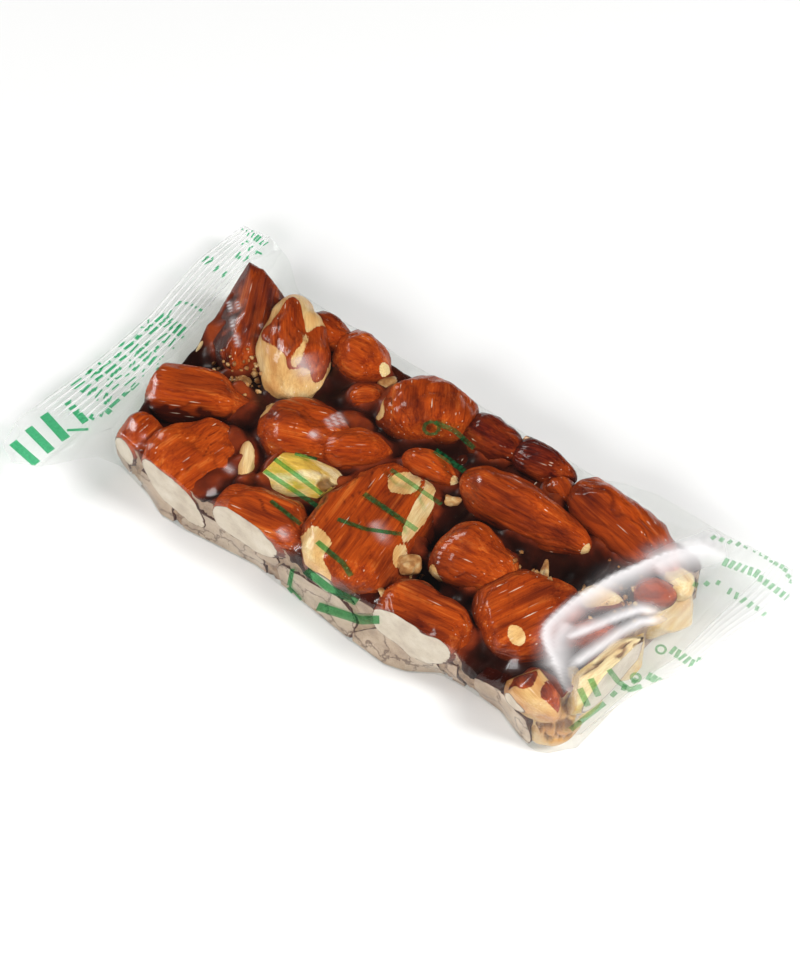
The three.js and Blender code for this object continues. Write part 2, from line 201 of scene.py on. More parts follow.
# Tension folds in the loose film at the right: lift, milkiness (partly whitening, partly painted reflection of
# the light in the folds), width on the sharp side, width on the soft side, to the left as the line runs, then
# the crease as the photograph's camera sees it on the FOLD_PLANE.
FOLD_PLANE = 12.8
FOLDS = [
    (0.25, 1.0, 0.5, 2.4, [(46.4, 26.5), (44.4, 23.4), (42.6, 20.4), (40, 17.5), (38.1, 15.2), (36.2, 11.2),
     (34.3, 7.3), (33.1, 3.8), (31.9, 0.1), (31.2, -3.5), (31, -6.1), (31.7, -7.8), (33, -8.9), (35.3, -10.4),
     (38.3, -12.6), (40, -13.4)]),
    (0.1, 0.95, 0.8, 1.2, [(32.4, -7.4), (35.1, -5.5), (37.1, -1.8), (39.1, 1.9), (40.9, 4.7), (43.6, 6.2)]),
    (0.0, 0.9, 2.4, 3.0, [(44.6, 24), (42.4, 20), (39.6, 15.4), (37.8, 11.4)]),
    (0.0, 0.75, 2.0, 2.6, [(33, -2.5), (34, -7.5), (37, -11.5)]),
    (0.0, 0.2, 3, 7, [(40, 14), (36, 6), (36, -6)]),
    (0.1, 0.95, 0.9, 1.1, [(37.4, -12.1), (38.7, -8), (39.9, -3.8), (40.8, -0.4), (42.2, 2.9), (44.9, 5.6)]),
]
# Painted highlights: streaks where the film over a nut is painted milky white for the glare off the tight film.
# Milkiness, width, then the line on the same plane.
GLINT_STREAKS = [
    (0.5, 0.3, [(-18.9, 3.7), (-16.9, 2.8)]), (0.6, 0.3, [(-18.7, 4.8), (-16.4, 3.7)]),
    (0.5, 0.3, [(-18.2, 5.7), (-15.7, 4.5)]), (0.6, 0.5, [(-19.2, 0.1), (-17.9, 0)]),
    (0.8, 0.22, [(-45.4, 12.4), (-43.6, 10.9)]), (0.8, 0.2, [(-42.8, 10.2), (-41.2, 8.4)]),
    (0.7, 0.24, [(-40.4, 8), (-38.4, 6.2)]), (0.6, 0.2, [(-44.4, 13.1), (-42.7, 11.8)]),
    (0.4, 1.4, [(-29.7, 10.7), (-26.0, 8.4)]), (0.3, 0.5, [(-6.4, 22.8), (-4.2, 21)]),
    (0.4, 0.5, [(-26, -12.8), (-24.3, -13.1)]), (0.4, 0.6, [(-12.2, -16.9), (-10.1, -17.6)]),
    (0.3, 0.8, [(-1.5, -7), (2.3, -8.7)]),
]

# ---- the print: strokes on the film, each given where the photograph's camera sees it on a level plane ----
# For each plane: width of stroke, then its points. All are plain bars, dashes, rings and arcs.
FIN_PLANE = 6.0
NUT_PLANE = 11.0
BARS = {
    FIN_PLANE: [
        (1.5, [(-58.6, -26.4), (-52.9, -27.2)]), (1.5, [(-58.4, -22.8), (-52.6, -24)]), (1.6, [(-58.1, -19.3),
        (-52.2, -20.8)]), (1.3, [(-57.2, -15), (-51.8, -16.4)]), (0.5, [(-53.2, -19.4), (-50.6, -17.2)]),
        (0.5, [(-54.6, 7.8), (-55, 9.6), (-54.6, 11), (-53.1, 11.7), (-50.7, 11.8)]), (1.0, [(39.5, -8.7),
        (42.3, -10.5)]), (1.0, [(39.8, -6.3), (42.6, -8.1)]), (0.9, [(41.1, -3.3), (43.4, -4.2), (45.7, -4.3),
        (46.8, -2.7)]), (0.9, [(42.6, -15.4), (43.3, -11.8), (44, -8.5)]),
    ],
    NUT_PLANE: [
        (0.75, [(-5.6, 3.1), (4.6, 2.7)]), (0.9, [(-6.2, -3), (4.4, -3.4)]), (0.7, [(-6.6, -9.2), (-2, -8),
        (3, -5.4)]), (0.9, [(-6.6, -14.4), (-1, -15.1), (1.4, -16.2)]), (0.6, [(-19.4, -3.6), (-16, -2.3)]),
        (0.75, [(-21.4, -6.3), (-11.4, -7)]), (0.8, [(-21.2, -9), (-10.6, -9.2)]), (0.7, [(-17, -12.8),
        (-10.6, -13.4)]), (1.0, [(-2.2, 10.2), (3.8, 9.8)]), (0.9, [(-5.4, 14.4), (-2, 15), (2.4, 14.2)]),
        (1.3, [(-4.8, -19.6), (0, -20), (5, -19.4)]), (1.5, [(0.6, -23.6), (4, -22.6), (7.4, -21.6),
        (9.6, -19.8)]), (0.7, [(-6.6, -20.6), (-5, -23.6), (-1.4, -24.6)]),
    ],
}
# Rows of small marks along the seals, on the fins' plane: first point, last point, how many, how long.
DASH_ROWS = [
    ((-57.6, -11.4), (-50.6, -10.8), 6, 2.2), ((-57.2, -8.6), (-50.4, -8.2), 5, 1.5), ((-56.6, -6),
    (-50.2, -6), 6, 2.4), ((-56.2, -3.2), (-50.4, -3.4), 5, 1.5), ((-56, -0.6), (-49.8, -0.7), 6, 2.2),
    ((-55.8, 1.6), (-50, 1.4), 4, 1.3), ((-55.6, 4), (-50.2, 4), 5, 1.9), ((-55.4, 6.6), (-50.4, 6.6),
    6, 2.2), ((-51.6, -15), (-50.4, -12.6), 3, 1.0), ((-56.4, 20.1), (-52.2, 19.7), 3, 1.3), ((-52.8, 24.2),
    (-51.4, 24.4), 2, 1.4), ((-55.4, 29), (-51.2, 28.6), 4, 1.4), ((-53.6, 26.8), (-50.6, 26.2), 3, 1.2),
    ((40.3, 26), (46.6, 28.2), 6, 0.9), ((46.9, 28.2), (51.8, 28.2), 6, 1.3), ((52.6, 27.8), (55.6, 26),
    4, 0.7), ((44.4, 23.4), (49.4, 24.6), 6, 1.6), ((50.4, 24.2), (55.8, 23.8), 6, 1.3), ((43, 17.2),
    (45.6, 19.6), 3, 0.9), ((47.9, 19.4), (51.8, 19.3), 4, 1.3), ((53, 19.4), (54.6, 19.2), 2, 0.9),
    ((47, 5.4), (50.6, 5.2), 5, 1.6), ((51.2, 6.4), (52.2, 8.4), 3, 1.0), ((46.7, -0.6), (48.2, -0.4),
    3, 1.4), ((44.2, -6.4), (45.4, -2.6), 3, 1.1),
]
# Rings, for each plane: centre, radius, width of stroke.
RINGS = {
    FIN_PLANE: [
        ((-57.8, -1.1), 1.0, 0.42), ((-57.4, -7.4), 1.1, 0.45), ((-56.6, 4.2), 0.9, 0.4), ((-56.2, 20.6),
        0.6, 0.4), ((45.4, 4.4), 0.75, 0.4), ((45.2, -2), 0.7, 0.5),
    ],
    NUT_PLANE: [
        ((-5.2, 13.2), 1.2, 0.6),
    ],
}

SIGHT = np.array((0.392, -0.518))  # the camera sees each mm of height as this shift on a level plane
CARD_WAY = (-0.328, 0.434, 0.839)  # towards a dark card, which hangs where flat film would mirror the room
AIR = (0.5, 0.85, 0.2, 0.0)  # between these shares of the way to the card, the room fades from 0.2 to 0
# Panels of light: place, aim, size, power, and whether the film mirrors them. In metres and watts.
LIGHTS = {
    "front_softbox": ((0.1, -0.62, 0.5), (0, 0, 0), (0.5, 0.3), 5.2, False),
    "left_softbox": ((-0.7, -0.1, 0.42), (0, 0, 0), (0.3, 0.3), 2.8, True),
    "right_softbox": ((0.42, 0.14, 0.46), (0.03, 0, 0.01), (0.16, 0.3), 3.6, False),
}
TABLE = 900
CAMERA = {"azimuth": 37.1, "elevation": 57.0, "distance": 600.0, "lens": 140.2, "target": (-3.7, 3.0, 7.0)}


# ---- colour and nodes ----
TIMES = {"operation": "MULTIPLY"}
LESS = {"operation": "SUBTRACT"}
COLOURS = {"data_type": "RGBA", "out": 2}


def linear(code):
    """An sRGB hex colour as linear RGBA."""
    shares = [int(code[i:i + 2], 16) / 255 for i in (1, 3, 5)]
    return [s / 12.92 if s <= 0.04045 else ((s + 0.055) / 1.055) ** 2.4 for s in shares] + [1.0]


def add(tree, kind, *values, out=0, stops=(), **named):
    """Adds one node and gives its output. values fill its sockets in order. A name in lower case is a setting
    of the node, and any other is a socket, or _6 for the seventh. Hex is a colour, and stops are a ramp's."""
    node = tree.nodes.new("ShaderNode" + kind)
    for _ in stops[2:]:
        node.color_ramp.elements.new(0.5)
    for point, (place, code) in zip(node.color_ramp.elements if stops else (), stops):
        point.position = place
        point.color = linear(code)
    for key in filter(str.islower, named):
        setattr(node, key, named[key])
    sockets = {key: value for key, value in named.items() if not key.islower()}
    for key, value in [*enumerate(values), *sockets.items()]:
        if isinstance(key, str):
            key = int(key[1:]) if key[0] == "_" else key.replace("_", " ")
        if isinstance(value, bpy.types.NodeSocket):
            tree.links.new(value, node.inputs[key])
        else:
            node.inputs[key].default_value = linear(value) if isinstance(value, str) else value
    return node.outputs[out] if node.outputs else None


def material(name, shader):
    """A material of this name. shader is one of the functions below, and gets an add for this tree."""
    made = bpy.data.materials.new(name)
    made.use_nodes = True
    tree = made.node_tree
    tree.nodes.clear()
    add(tree, "OutputMaterial", Surface=shader(partial(add, tree)))
    return made


def values_of(add, *names):
    """What each named attribute of the points says."""
    return [add("Attribute", attribute_name=name, out="Fac") for name in names]


def laid_over(add, base, *layers):
    """Colours laid over a base one after another, each as (share, colour)."""
    for share, colour in layers:
        base = add("Mix", share, _6=base, _7=colour, **COLOURS)
    return base


# ---- materials ----
def almond_skin(add):
    """Roasted almond skin under a boiled-sugar glaze: fibrous and furrowed brown, with a glassy wet coat.
    Painted shade darkens its furrows, flanks and dents, and some pale specks are painted glints.
    """
    tone, peel, furrow, soak, hollow = values_of(add, "tone", "peel", "furrow", "soak", "hollow")
    grain = add("Attribute", attribute_name="grain", out="Vector")
    # veins about a millimetre and a half apart that run the length of the nut, and fibres a quarter of that
    veins = add("TexNoise", Vector=grain, Scale=0.7, Detail=2.5, Roughness=0.55, Distortion=0.25)
    drawn, wide = [add("VectorMath", grain, (along, 1, 1), **TIMES) for along in (0.3, 5)]
    fibres = add("TexNoise", Vector=drawn, Scale=3.4, Detail=3, Roughness=0.6)
    blotch = add("TexNoise", Vector=wide, Scale=0.3, Detail=3)
    depth = add("Math", add("Math", veins, 0.56, **TIMES), add("Math", fibres, 0.44, **TIMES))
    dark = add("ValToRGB", depth, stops=[(0.36, "#2A090A"), (0.5, "#50150C"), (0.64, "#7A2812")])
    light = add("ValToRGB", depth,
                stops=[(0.34, "#842A0A"), (0.46, "#A43E0E"), (0.56, "#B84A12"), (0.7, "#D4722E")])
    shade = add("Math", tone, add("MapRange", blotch, 0.3, 0.7, -0.42, 0.42))
    # a vein shows as a dark line where its noise crosses the middle
    middle = add("Math", add("Math", veins, 0.5, **LESS), operation="ABSOLUTE")
    line = add("MapRange", middle, 0, 0.022, 0.3, 0)
    skin = laid_over(add, dark,
                     (add("MapRange", shade, -0.1, 0.65), light),
                     (line, "#561507"),
                     # painted shade in the furrows
                     (add("MapRange", furrow, 0.15, 0.8, 0, 0.7), "#4A1208"),
                     # darker where soaked in caramel, with painted shade on the flanks, lower down and in the
                     # dents
                     (add("Math", soak, 0.9, **TIMES), "#2C0906"))
    # kernel runs from tan through cream to the gold of a nut roasted longer
    bare_shade = add("Math", tone, add("MapRange", blotch, 0.35, 0.65, -0.3, 0.3))
    kernel = add("ValToRGB", add("MapRange", bare_shade, 0, 2),
                 stops=[(0.04, "#C98E52"), (0.24, "#E2B676"), (0.5, "#F4E2B0"), (0.66, "#E6BC50")])
    kernel = laid_over(add, kernel,
                       (add("MapRange", fibres, 0.56, 0.4, 0, 0.26), "#A8602C"),
                       # darker where soaked in caramel, with painted shade as on the skin
                       (add("Math", soak, 0.3, **TIMES), "#8A5A34"),
                       # painted shade in the dents
                       (add("MapRange", hollow, 0.1, 0.8, 0, 0.8), "#7A4A2A"))
    torn = add("MapRange", add("Math", peel, add("MapRange", fibres, 0.3, 0.7, -0.22, 0.22)), 0.42, 0.58)
    # pale specks about 0.2 mm across: sugar grains, and painted glints of the glaze
    sugar_glint_specks = add("MapRange", add("TexVoronoi", Vector=grain, Scale=1.5), 0.16, 0.08)
    sugar_glint_speck = add("Math", sugar_glint_specks, add("MapRange", blotch, 0.44, 0.56), **TIMES)
    colour = laid_over(add, skin, (torn, kernel), (add("Math", sugar_glint_speck, 0.75, **TIMES), "#F0D8C0"))
    height = add("Math", depth, add("Math", line, 0.2, **TIMES), **LESS)
    height = add("Math", height, add("Math", torn, 0.25, **TIMES), **LESS)
    relief, glaze = [add("Bump", Strength=deep, Distance=0.00025, Height=height) for deep in (0.6, 0.2)]
    return add("BsdfPrincipled", Base_Color=over_cut(add, colour), Roughness=0.6, IOR=1.45,
               Specular_IOR_Level=0.1, Normal=relief, Coat_Weight=0.6, Coat_Roughness=0.09, Coat_IOR=1.5,
               Coat_Normal=glaze)


def over_cut(add, colour):
    """The colour of a nut with its cream cut face and the rim of skin round it, by depth past the knife."""
    place = add("TexCoord", out="Object")
    depth, layer, tone = values_of(add, "cut", "layer", "tone")
    cloud = add("TexNoise", Vector=place, Scale=260, Detail=4, Roughness=0.6)
    fine = add("TexNoise", Vector=place, Scale=1500, Detail=2)
    pale = add("ValToRGB", cloud, stops=[(0.3, "#B4A08C"), (0.5, "#CBBBA6"), (0.7, "#DACDBC")])
    # the lower layer is painted browner, as painted shade under the top layer, each nut in its own degree, with
    # cracks about 6 mm apart full of caramel
    brown = add("ValToRGB", cloud, stops=[(0.3, "#7A5842"), (0.5, "#9E7C60"), (0.7, "#B8987A")])
    shaken = add("TexNoise", Vector=place, Scale=260, Detail=5, Roughness=0.65, out="Color")
    bent = add("VectorMath", shaken, (0.0065,) * 3, place, operation="MULTIPLY_ADD")
    edge = add("TexVoronoi", Vector=bent, Scale=170, feature="DISTANCE_TO_EDGE")
    low = laid_over(add, brown, (add("Math", tone, 0.95, **TIMES), pale),
                    (add("MapRange", edge, 0.01, 0.05, 0.85, 0), "#5E4030"))
    kernel = laid_over(add, pale, (layer, low), (add("MapRange", fine, 0.62, 0.76, 0, 0.16), "#8E6A4A"))
    cut = laid_over(add, CUT_RIM_COLOUR, (add("MapRange", depth, *CUT_RIM), kernel))
    return laid_over(add, colour, (add("MapRange", depth, 0, 0.03), cut))


def almond_cut(add):
    """Almond kernel cut through by a knife: smooth, waxy and cream, with pale scuffs and fine drag lines, and
    painted browner on the lower layer as painted shade.
    """
    scuffs = add("TexNoise", Vector=add("TexCoord", out="Object"), Scale=420, Detail=5)
    return add("BsdfPrincipled", Base_Color=over_cut(add, CUT_RIM_COLOUR), Roughness=0.5, IOR=1.47,
               Normal=add("Bump", Strength=0.3, Distance=0.00015, Height=scuffs), Coat_Weight=0.25,
               Coat_Roughness=0.3)


def caramel_poured(add):
    """Dark boiled-sugar caramel, poured and set: nearly black where deep, amber where thin, glass-smooth."""
    place = add("TexCoord", out="Object")
    swirl = add("TexNoise", Vector=place, Scale=210, Detail=3, Distortion=0.6)
    thin = add("Math", *values_of(add, "thin"), add("MapRange", swirl, 0.3, 0.7, -0.22, 0.22))
    colour = add("ValToRGB", thin,
                 stops=[(0.0, "#1E0A06"), (0.4, "#3A140B"), (0.75, "#6E2812"), (1.0, "#8E3A16")])
    ripples = add("TexNoise", Vector=place, Scale=420, Detail=3)
    return add("BsdfPrincipled", Base_Color=colour, Roughness=0.42, IOR=1.4,
               Normal=add("Bump", Strength=0.35, Distance=0.0004, Height=ripples))


def caramel_cut(add):
    """Caramel cut through by a knife: dull grey-brown, dusted with ground nut."""
    place = add("TexCoord", out="Object")
    dust = add("TexNoise", Vector=place, Scale=700, Detail=4, Roughness=0.7)
    cloud = add("TexNoise", Vector=place, Scale=150, Detail=2)
    colour = add("ValToRGB", dust, stops=[(0.32, "#5E4435"), (0.48, "#8E705A"), (0.64, "#B09478")])
    colour = laid_over(add, colour, (add("MapRange", cloud, 0.4, 0.6, 0, 0.7), "#B0957A"))
    return add("BsdfPrincipled", Base_Color=colour, Roughness=0.55, IOR=1.5,
               Normal=add("Bump", Strength=0.6, Distance=0.0003, Height=dust))


def nut_crumb(add):
    """Broken nut: dry golden chips with browner edges."""
    cloud = add("TexNoise", Vector=add("TexCoord", out="Object"), Scale=520, Detail=3)
    colour = add("ValToRGB", cloud, stops=[(0.32, "#7A4420"), (0.5, "#B88450"), (0.66, "#DCBC88")])
    return add("BsdfPrincipled", Base_Color=colour, Roughness=0.45, IOR=1.47,
               Normal=add("Bump", Strength=0.5, Distance=0.0002, Height=cloud), Coat_Weight=0.5,
               Coat_Roughness=0.15)


def film_clear(add):
    """Clear polypropylene film, heat-sealed at the ends: clear and glossy, milky where creased or crimped. Its
    folds and streaks are painted milky white as painted reflection and painted highlights.
    """
    haze, = values_of(add, "haze")
    front = add("BsdfDiffuse", Color="#FDFBFC")
    back = add("BsdfTranslucent", Color="#FAFAFA")
    milk = add("MixShader", 0.22, front, back)
    body = add("MixShader", haze, add("BsdfTransparent", Color="#FBFCFB"), milk)
    # the mirror share by angle, alike from both sides of the film. Creases scatter more than they mirror.
    facing = add("LayerWeight", Blend=0.5, out="Facing")
    edge = add("MapRange", add("Math", facing, 5, operation="POWER"), 0, 1, 0.035, 0.3)
    edge = add("Math", edge, add("MapRange", haze, 0, 0.7, 1, 0.08), **TIMES)
    shine = add("BsdfAnisotropic", Color="#FFFFFF", Roughness=0.16, distribution="GGX")
    return add("MixShader", edge, body, shine)


def ink_green(add):
    """Flexographic green ink on film: a thin flat layer that filters what lies behind it."""
    # the screen of the print plate, drawn at 0.35 mm so that it shows as an uneven edge and pinholes
    screen = add("TexNoise", Vector=add("TexCoord", out="Object"), Scale=2200, Detail=2)
    # the print is faint towards the right seal, where creased film veils it
    filtered = laid_over(add, "#60CE9B", (*values_of(add, "faint"), "#C6E3CA"))
    ink = add("BsdfPrincipled", Base_Color="#2FA868", Roughness=0.4, IOR=1.5)
    return add("MixShader", add("MapRange", screen, 0.3, 0.62, 0.2, 0.04),
               add("BsdfTransparent", Color=filtered), ink)


def painted_white(add):
    """A table top painted matt white."""
    return add("BsdfPrincipled", Base_Color="#F4F4F3", Roughness=0.7)


# ---- shapes ----
def lerp(a, b, share):
    return a + (b - a) * share


def smooth(value, low, high):
    share = np.clip((value - low) / (high - low), 0, 1)
    return share * share * (3 - 2 * share)


def lengths(rows):
    return np.linalg.norm(rows, axis=1, keepdims=True)


def wander(points, size, seed, terms=12):
    """Smooth random values about 0 that change over the given size, at each point."""
    draw = np.random.default_rng(seed)
    ways = draw.normal(size=(terms, points.shape[1]))
    ways *= 2 * math.pi / size * draw.uniform(0.6, 1.5, (terms, 1)) / lengths(ways)
    return np.cos(points @ ways.T + draw.uniform(0, 2 * math.pi, terms)).sum(1) * math.sqrt(2 / terms)


def front_y(x, z):
    """The knife-cut front at this x and height."""
    base, top = (np.interp(x, FRONT[:, 0], FRONT[:, k]) for k in (1, 2))
    return lerp(base, top, smooth(z, 0, LEAN_HEIGHT))


def end_x(end, y):
    (x0, y0), (x1, y1) = end["front"], end["back"]
    return lerp(x0, x1, (y - y0) / (y1 - y0))


def turn_matrix(yaw, pitch, roll):
    """Rolled about its own axis, tipped up at the tip, then turned to its yaw."""
    turns = np.radians((yaw, -pitch, roll))
    (cy, cp, cr), (sy, sp, sr) = np.cos(turns), np.sin(turns)
    about_z = np.array([(cy, -sy, 0), (sy, cy, 0), (0, 0, 1)])
    about_y = np.array([(cp, 0, sp), (0, 1, 0), (-sp, 0, cp)])
    about_x = np.array([(1, 0, 0), (0, cr, -sr), (0, sr, cr)])
    return about_z @ about_y @ about_x


def grid_faces(rows, columns, around=False):
    """Quads over a grid of rows x columns of points, closed round the columns if asked."""
    i, j = np.meshgrid(np.arange(rows - 1), np.arange(columns if around else columns - 1), indexing="ij")
    k = (j + 1) % columns
    corners = [i * columns + j, (i + 1) * columns + j, (i + 1) * columns + k, i * columns + k]
    return np.stack(corners, -1).reshape(-1, 4)


def new_piece(name, points, faces, materials, **values):
    """A mesh object from points in millimetres. values are the points' attributes, as numbers or vectors."""
    mesh = bpy.data.meshes.new(name)
    mesh.from_pydata((np.asarray(points) * MM).tolist(), [], [list(map(int, f)) for f in faces])
    for key, value in values.items():
        kind, field = ("FLOAT_VECTOR", "vector") if value.ndim == 2 else ("FLOAT", "value")
        mesh.attributes.new(key, kind, "POINT").data.foreach_set(field, value.astype(np.float32).ravel())
    for material in materials:
        mesh.materials.append(material)
    mesh.polygons.foreach_set("use_smooth", np.full(len(mesh.polygons), True))
    piece = bpy.data.objects.new(name, mesh)
    bpy.context.scene.collection.objects.link(piece)
    return piece


def joined(name, parts):
    """Several objects as one piece."""
    with bpy.context.temp_override(active_object=parts[0], object=parts[0], selected_objects=parts,
                                   selected_editable_objects=parts):
        bpy.ops.object.join()
    parts[0].name = parts[0].data.name = name
    return parts[0]


# ---- almonds ----
NUT_GRADE = {"large": (128, 76), "small": (80, 48), "low": (64, 38)}  # sides and rings
NUT_ROWS = {"almonds_back_row": slice(0, 11), "almonds_middle": slice(11, 20), "almonds_front": slice(20, 28),
            "almonds_right_end": slice(28, 33)}
FURROW = {"spacing": 2.0, "depth": 0.34, "bend": 0.12}
LUMPS = ((0.34, 9.0), (0.12, 3.4))  # height and size of the unevenness of a nut
SKIN = 0.16  # how thick the skin is, where bare kernel starts beside it
FACET_PRESS = 0.93  # 1 would leave facets quite flat
GRAIN_ALONG = 0.07  # the grain changes this much slower along the nut than round it
CUT_RIM = (0.1, 0.16)  # the cut skin's edge, from full to gone
CUT_RIM_COLOUR = "#6A4837"
DENT = 1.5
FRONT_ROW = -16.4  # y of the middle of the lower layer's nuts
BACK_ROW = 17.4
CRACK = 0.3  # between two cut faces of the lower layer
FACE_FILL = 1.45  # how far those nuts reach past their own face, before the cracks part them
SOAK_AND_SHADE = {"low": 6.4, "high": 10.8, "side": 0.6}  # the nuts darken below these heights, partly caramel and partly painted shade, and on their flanks with painted shade


def from_spots(nut, kind, along, angle):
    """How far each point is from each patch, dent or soaked side of the nut, as a share of its reach."""
    for place, way, reach, wide in nut.get(kind, ()):
        off = (np.degrees(angle) - way + 180) % 360 - 180
        yield np.hypot((along - place) / reach, off / wide)


def peel_of(nut, along, angle, seed):
    """How bare the nut is at each point, from 0, skin, to 1, kernel. Each patch has a torn outline."""
    peel = np.full(along.shape, float(nut.get("bare", 0)))
    out = np.sqrt(1 - along ** 2)
    torn = 0.2 * wander(np.stack([1.4 * along, out * np.cos(angle), out * np.sin(angle)], 1), 0.9, seed + 3)
    for far in from_spots(nut, "patches", along, angle):
        peel = np.abs(peel - (1 - smooth(far + torn, 0.85, 1.15)))
    return peel


def spots_of(nut, kind, along, angle):
    """How far inside the nut's dents, or its soaked sides, each point lies, from 0 to 1."""
    torn = 0.3 * wander(np.stack([3 * along, np.cos(angle), np.sin(angle)], 1), 0.7, 8)
    inside = [1 - smooth(far + torn, 0.3, 1.1) for far in from_spots(nut, kind, along, angle)]
    return np.max([np.zeros(along.shape), *inside], 0)


def random_flats(count, seed):
    """Facets all round a broken nut, most of them on its upper side."""
    draw = np.random.default_rng(seed + 40)
    return [(draw.uniform(-20, 200), draw.uniform(-60, 60), draw.uniform(0.66, 0.9)) for _ in range(count)]


def flatten(body, flats, half):
    """Presses what stands beyond each facet's plane down onto it."""
    for angle, lean, share in flats:
        angle, lean = math.radians(angle), math.radians(lean)
        way = np.array([math.sin(lean), math.cos(lean) * math.cos(angle), math.cos(lean) * math.sin(angle)])
        beyond = np.clip(body @ way - share * np.linalg.norm(half * way), 0, None)
        body = body - way * FACET_PRESS * beyond[:, None]
    return body


def almond(name, nut, seed, materials):
    """One almond: a flattened egg with a pointed tip, furrowed along its length, never quite even."""
    length, width, thick = nut["size"]
    around, rings = NUT_GRADE[nut.get("grade", "large" if length > 11 else "small")]
    draw = np.random.default_rng(seed)
    swing = math.pi * np.arange(1, rings) / rings
    turns = 2 * math.pi * np.arange(around) / around
    along, angle = [g.ravel() for g in np.meshgrid(-np.cos(swing), turns, indexing="ij")]
    along = np.concatenate([[-1.0], along, [1.0]])
    angle = np.concatenate([[0.0], angle, [0.0]])
    out = np.sqrt(np.clip(1 - along ** 2, 0, 1))
    furrows = max(5, round(math.pi * (width + thick) / 2 / FURROW["spacing"]))
    phase = draw.uniform(0, 2 * math.pi, 4)
    round_nut = np.stack([1.6 * along, out * np.cos(angle), out * np.sin(angle)], 1)
    bent = angle + FURROW["bend"] * wander(round_nut, 1.1, seed + 4)
    valleys = sum(
        share * (1 - np.abs(np.sin(count * bent / 2 + start + 0.5 * np.sin(1.6 * along + start)))) ** 5
        for share, count, start in ((0.6, furrows, phase[0]), (0.4, 2 * furrows - 3, phase[1]),
                                    (0.35, furrows // 2 + 1, phase[2]))
    )
    hollow = spots_of(nut, "dents", along, angle)
    bare = peel_of(nut, along, angle, seed)
    valleys *= np.sqrt(out) * (1 - 0.75 * bare)
    square = nut.get("square", 0.0)
    block = 1 / (1 - square * 0.3 * np.abs(np.sin(2 * angle)) ** 1.5)
    swell = out * (1 - TAPER * (along + along ** 3) / 2) * lerp(1.0, block, square > 0)
    swell *= lerp(1.0, 1 / np.maximum(np.sqrt(np.clip(1 - along ** 2, 0, 1)), 0.25) ** 0.4, square)
    unit = np.stack([along, swell * np.cos(angle), swell * np.sin(angle)], 1)
    body = unit * (length / 2, width / 2, thick / 2)
    lumps = sum(high * wander(body, size, seed + 1 + k) for k, (high, size) in enumerate(LUMPS))
    skin_step = SKIN * smooth(0.5 - bare, -0.1, 0.1)
    fold = lumps * min(1.0, width / 9) * out ** 0.5 - FURROW["depth"] * valleys + skin_step * np.sqrt(out)
    outward = np.stack([0.25 * along, np.cos(angle) * out, np.sin(angle) * out], 1)
    outward /= np.maximum(lengths(outward), 1e-6)
    body = body + outward * (fold - DENT * hollow)[:, None]
    flats = [*nut.get("flats", ()), *random_flats(nut.get("broken", 0), seed)]
    body = flatten(body, flats, np.array(nut["size"]) / 2)
    turn = turn_matrix(nut["yaw"], nut.get("pitch", 0), nut.get("roll", 0))
    points = body @ turn.T + np.array(nut["at"]) + (0, 0, BASE_LIFT)
    ring = grid_faces(rings - 1, around, around=True) + 1
    last = len(points) - 1
    k = np.arange(around)
    ends = [np.stack([np.zeros(around, int), 1 + k, 1 + (k + 1) % around], 1),
            np.stack([np.full(around, last), last - around + (k + 1) % around, last - around + k], 1)]
    faces = [*ring[:, ::-1], *ends[0][:, ::-1], *ends[1][:, ::-1]]
    # painted shade: the skin darkens on its flanks, which face sideways and down, and in the dents. It darkens
    # lower down too, partly caramel and partly painted shade; the soaked sides are the caramel's own colour.
    flank_shade = 1 - smooth((outward @ turn.T)[:, 2], 0.0, 0.8)
    buried_and_shaded = 1 if nut.get("grade") == "low" else 1 - smooth(points[:, 2], SOAK_AND_SHADE["low"], SOAK_AND_SHADE["high"])
    soak = np.clip(SOAK_AND_SHADE["side"] * flank_shade + buried_and_shaded + hollow + spots_of(nut, "soaked", along, angle), 0, 1)
    grain = body * (GRAIN_ALONG, 1, 1) + draw.uniform(-400, 400, 3)
    tones, layer = [np.full(len(points), float(value)) for value in (nut["tone"], nut.get("grade") == "low")]
    points, cut = cut_to_bar(points, nut, seed)
    piece = new_piece(name, points, faces, materials, grain=grain, tone=tones, peel=bare, furrow=valleys,
                      soak=soak, cut=cut, layer=layer, hollow=hollow)
    flat = np.array([min(cut[f]) > CUT_RIM[1] for f in faces])
    piece.data.polygons.foreach_set("material_index", flat.astype(np.int32))
    piece.data.polygons.foreach_set("use_smooth", ~flat)
    return piece


def cut_to_bar(points, nut, seed):
    """Presses a nut's points back onto the cuts round the bar. Gives how far past the knife each was, too."""
    points = points.copy()
    cut = np.full(len(points), -1.0)
    if not nut.get("whole"):
        for at, normal in nut.get("walls", ()):
            normal = np.array(normal) / np.linalg.norm(normal)
            points -= normal * np.clip((points - at) @ normal, 0, None)[:, None]
        step = np.random.default_rng(seed).uniform(-0.08, 0.0) + nut.get("sunk", 0.0)
        cut = front_y(points[:, 0], points[:, 2]) + step - points[:, 1]
        points[:, 1] += np.clip(cut, 0, None)
        for at, normal in knife_cuts():
            normal = np.array(normal) / np.linalg.norm(normal)
            past = (points - at) @ normal
            points -= normal * np.clip(past, 0, None)[:, None]
            cut = np.maximum(cut, past)
    points[:, 2] = np.maximum(points[:, 2], BASE_LIFT)
    return points, cut


def knife_cuts():
    """The flat cuts at the bar's two ends and its back: a point and the way out of the bar."""
    for end, side in ((LEFT_END, -1), (RIGHT_END, 1)):
        run, rise = np.subtract(end["back"], end["front"])
        yield (*end["front"], 0), (side * rise, -side * run, 0)
    yield (0, BACK_Y, 0), (0, 1, 0)


